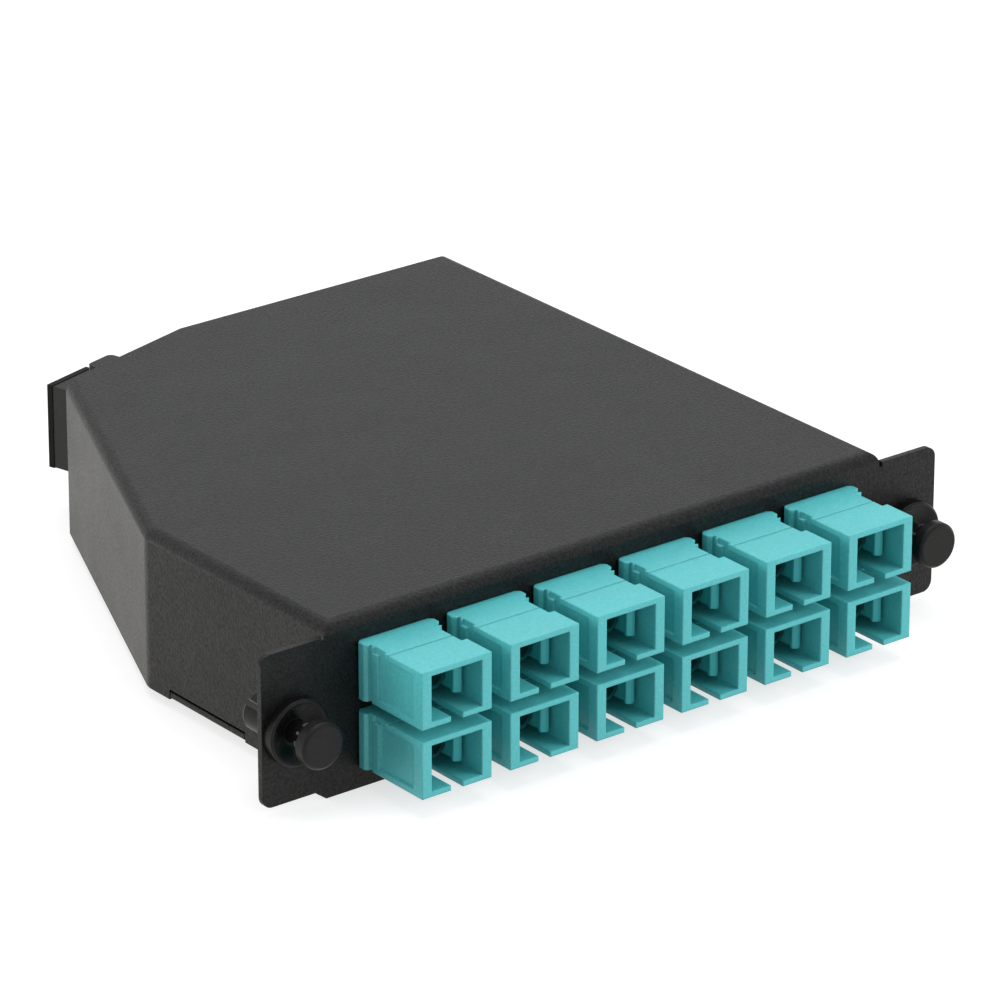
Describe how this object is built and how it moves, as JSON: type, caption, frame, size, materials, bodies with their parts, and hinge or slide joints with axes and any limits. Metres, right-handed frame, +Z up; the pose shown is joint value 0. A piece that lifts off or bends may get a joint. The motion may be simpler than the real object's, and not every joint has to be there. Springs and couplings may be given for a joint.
{
  "type": "fibre cassette",
  "caption": "Low folded steel case with a slanted corner, two rows of simplex fibre adapters in its front panel, push-pull latches in its ears and a multi-fibre adapter behind.",
  "frame": {"origin": "midway between the two latches, in the plane of the ears' rear faces, which seat on the enclosure", "axes": "+X right along the panel seen from the front, +Y into the case and out of the latches' studs, +Z up"},
  "size_m": [0.13, 0.1303, 0.0278],
  "materials": {
    "case_paint": "fine textured black powder coat",
    "aqua_plastic": "aqua moulded plastic, satin",
    "insert_plastic": "aqua moulded plastic, satin",
    "spring_steel": "rolled spring steel strip",
    "ceramic": "polished white ceramic",
    "latch_plastic": "black nylon, semi-gloss",
    "black_plastic": "black moulded plastic, satin",
    "zinc_steel": "zinc-plated steel"
  },
  "bodies": {
    "case": {"top_cover": "case_paint", "base_pan": "case_paint", "adapter_housing_upper_1": "aqua_plastic", "adapter_housing_upper_2": "aqua_plastic", "adapter_housing_upper_3": "aqua_plastic", "adapter_housing_upper_4": "aqua_plastic", "adapter_housing_upper_5": "aqua_plastic", "adapter_housing_upper_6": "aqua_plastic", "adapter_housing_lower_1": "aqua_plastic", "adapter_housing_lower_2": "aqua_plastic", "adapter_housing_lower_3": "aqua_plastic", "adapter_housing_lower_4": "aqua_plastic", "adapter_housing_lower_5": "aqua_plastic", "adapter_housing_lower_6": "aqua_plastic", "adapter_insert_upper_1": "insert_plastic", "adapter_insert_upper_2": "insert_plastic", "adapter_insert_upper_3": "insert_plastic", "adapter_insert_upper_4": "insert_plastic", "adapter_insert_upper_5": "insert_plastic", "adapter_insert_upper_6": "insert_plastic", "adapter_insert_lower_1": "insert_plastic", "adapter_insert_lower_2": "insert_plastic", "adapter_insert_lower_3": "insert_plastic", "adapter_insert_lower_4": "insert_plastic", "adapter_insert_lower_5": "insert_plastic", "adapter_insert_lower_6": "insert_plastic", "adapter_clip_upper_1": "spring_steel", "adapter_clip_upper_2": "spring_steel", "adapter_clip_upper_3": "spring_steel", "adapter_clip_upper_4": "spring_steel", "adapter_clip_upper_5": "spring_steel", "adapter_clip_upper_6": "spring_steel", "adapter_clip_lower_1": "spring_steel", "adapter_clip_lower_2": "spring_steel", "adapter_clip_lower_3": "spring_steel", "adapter_clip_lower_4": "spring_steel", "adapter_clip_lower_5": "spring_steel", "adapter_clip_lower_6": "spring_steel", "alignment_sleeves": "ceramic", "latch_grommet_left": "latch_plastic", "latch_grommet_right": "latch_plastic", "rear_adapter_housing": "black_plastic", "rear_adapter_clip": "spring_steel", "cover_standoffs": "zinc_steel", "base_screws": "zinc_steel", "fibre_guides": "black_plastic"},
    "left_plunger": {"latch_plunger_left": "latch_plastic"},
    "right_plunger": {"latch_plunger_right": "latch_plastic"}
  },
  "joints": [
    {"name": "left_latch_slide", "type": "slide", "parent": "case", "child": "left_plunger", "axis": [0, 1, 0], "range_m": [0, 0.0029]},
    {"name": "right_latch_slide", "type": "slide", "parent": "case", "child": "right_plunger", "axis": [0, 1, 0], "range_m": [0, 0.0029]}
  ]
}
